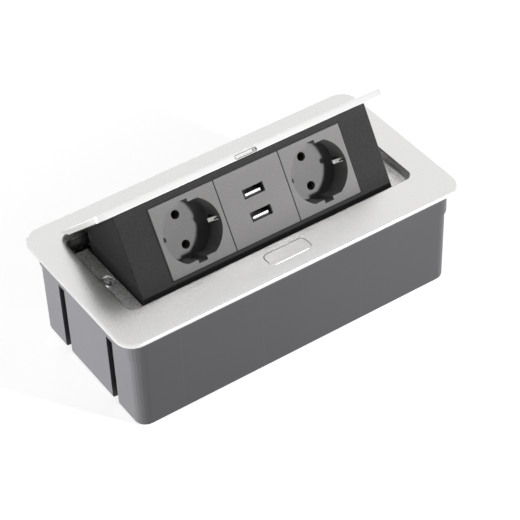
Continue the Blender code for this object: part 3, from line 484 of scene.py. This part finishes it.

# A near-black material for painted shade: in the gaps round the inserts, on the right earth clips and in
# the lid's slot.
black_painted_shade, tree, shader = new_material("black_painted_shade")
shader.inputs["Specular IOR Level"].default_value = 0.15
rub = speckle(tree, 2200.0)
tree.links.new(tone(tree, rub, (0.004, 0.004, 0.004), (0.020, 0.020, 0.020)),
               shader.inputs["Base Color"])
tree.links.new(remap(tree, rub, 0.5, 0.75), shader.inputs["Roughness"])

panel_middle, panel_tilt = (0, -0.014877, 0.090281), math.radians(58)
panel_turn = Matrix.Translation(panel_middle) @ Matrix.Rotation(panel_tilt, 4, "X")
row_half_x, row_half_y, usb_half = 0.06830, 0.02290, 0.0230
line_wide, line_proud, line_lift, insert_area = 0.00036, 0.00024, 0.00001, 0.001
# Thin black strips along the joints of the inserts: painted shade in their gaps.
bm = bmesh.new()
bmesh.ops.create_grid(bm, x_segments=1, y_segments=1, size=1)
bmesh.ops.scale(bm, verts=bm.verts, vec=(row_half_x, row_half_y, 1))
for x in (-usb_half, usb_half):
    bmesh.ops.bisect_plane(bm, geom=list(bm.verts) + list(bm.edges) + list(bm.faces),
                           plane_co=(x, 0, 0), plane_no=(1, 0, 0))
bmesh.ops.inset_individual(bm, faces=bm.faces, thickness=line_wide, use_even_offset=True)
inserts = [face for face in bm.faces if face.calc_area() > insert_area]
bmesh.ops.delete(bm, geom=inserts, context="FACES")
raised = bmesh.ops.extrude_face_region(bm, geom=list(bm.faces))["geom"]
bmesh.ops.translate(bm, verts=[v for v in raised if isinstance(v, bmesh.types.BMVert)],
                    vec=(0, 0, line_proud))
bmesh.ops.translate(bm, verts=bm.verts, vec=(0, 0, line_lift))
bm.transform(panel_turn)
bmesh.ops.recalc_face_normals(bm, faces=bm.faces)
finish_piece("insert_gap_shade", bm, black_painted_shade, "tilt_unit", smooth=False)


# Contacts and earth clips: brass sleeves behind the pin holes, painted very dark as painted shade deep in
# the holes, and sprung steel strips in the side walls of each recess. The left strips are painted near
# black, as painted shade. The right ones are bright, and a thin black strip on each is painted shade.
# The brass is painted very dark: painted shade in the pin holes.
brass = bare_metal("brass", (0.10, 0.08, 0.05), 0.5)
# The left clips are painted near black: painted shade on them.
clip_steel_painted_shade = bare_metal("clip_steel_painted_shade", (0.03, 0.03, 0.03), 0.45)
bright_steel = bare_metal("bright_steel", (0.42, 0.42, 0.41), 0.3)
recess_x, clip_out, clip_low, clip_deep = 0.0455, 0.0182, 0.0002, -0.00285
clip_shade_size, clip_shade_edge = (0.0033, 0.0010, 0.0002), 0.00004
for side, tag in ((-1, "l"), (1, "r")):
    dress("contact_" + tag + "_top", brass)
    dress("contact_" + tag + "_low", brass)
    dress("earth_clip_" + tag + "_in", clip_steel_painted_shade)
    dress("earth_clip_" + tag + "_out", bright_steel)
    # A thin black strip on each right clip: painted shade on its face.
    bm = bmesh.new()
    bmesh.ops.create_cube(bm, size=1)
    bmesh.ops.scale(bm, verts=bm.verts, vec=clip_shade_size)
    bmesh.ops.bevel(bm, geom=list(bm.verts) + list(bm.edges), affect="EDGES", offset=clip_shade_edge,
                    segments=2, profile=0.5, material=-1)
    bmesh.ops.translate(bm, verts=bm.verts, vec=(side * recess_x + clip_out, clip_low, clip_deep))
    bm.transform(panel_turn)
    finish_piece("clip_shade_strip_" + tag, bm, black_painted_shade, "tilt_unit", smooth=False)


# USB ports: folded steel shells, painted near black as painted shade inside the face, round white plastic
# tongues, on a green board that stands behind the face.
# The shells are painted near black: painted shade inside the ports.
shell_steel = bare_metal("shell_steel", (0.035, 0.035, 0.035), 0.45)
tongue_white = moulded("tongue_white", (0.84, 0.84, 0.83), roughness=0.35, grain_scale=2600.0,
                       grain_depth=0.00003)
for tag in ("top", "low"):
    dress("usb_shell_" + tag, shell_steel)
    dress("usb_tongue_" + tag, tongue_white)
board_green = moulded("board_green", (0.03, 0.16, 0.07), roughness=0.4, grain_scale=900.0,
                      grain_depth=0.00003)
dress("usb_board", board_green)


# Lid: a flat metal plate on top of the socket block, in the frame's silver but smoother. Its front edge
# has the slot that the latch catches, lined with a thin black band of painted shade.
lid_silver = satin_silver("lid_silver", (0.84, 0.84, 0.835), 0.17)
dress("lid", lid_silver)

open_angle = math.radians(-43)
lid_turn = Matrix.Translation((0, hinge_y, hinge_z)) @ Matrix.Rotation(open_angle, 4, "X")
slot_half, slot_high, slot_middle, lid_front = 0.0075, 0.0023, 0.01165, -0.0781
slot_shade_over, slot_shade_wide, slot_shade_deep = 0.00022, 0.0003, 0.0020
slot_shade_corner, slot_shade_proud = 0.0011, 0.00004
# A black band round the slot's walls: painted shade in the slot.
bm = bmesh.new()
bmesh.ops.create_grid(bm, x_segments=1, y_segments=1, size=0.5)
bmesh.ops.scale(bm, verts=bm.verts, vec=(2 * (slot_half + slot_shade_over), slot_high + 2 * slot_shade_over, 1))
bmesh.ops.bevel(bm, geom=list(bm.verts), affect="VERTICES", offset=slot_shade_corner, segments=6,
                profile=0.5, material=-1)
bmesh.ops.inset_individual(bm, faces=bm.faces, thickness=slot_shade_wide, use_even_offset=True)
slot_face = [face for face in bm.faces if len(face.verts) > 4]
bmesh.ops.delete(bm, geom=slot_face, context="FACES")
sunk = bmesh.ops.extrude_face_region(bm, geom=list(bm.faces))["geom"]
bmesh.ops.translate(bm, verts=[v for v in sunk if isinstance(v, bmesh.types.BMVert)],
                    vec=(0, 0, -slot_shade_deep))
bmesh.ops.rotate(bm, verts=bm.verts, matrix=Matrix.Rotation(math.radians(90), 3, "X"))
bmesh.ops.translate(bm, verts=bm.verts, vec=(0, lid_front - slot_shade_proud, slot_middle))
bm.transform(lid_turn)
bmesh.ops.recalc_face_normals(bm, faces=bm.faces)
finish_piece("catch_slot_shade", bm, black_painted_shade, "tilt_unit", smooth=False)
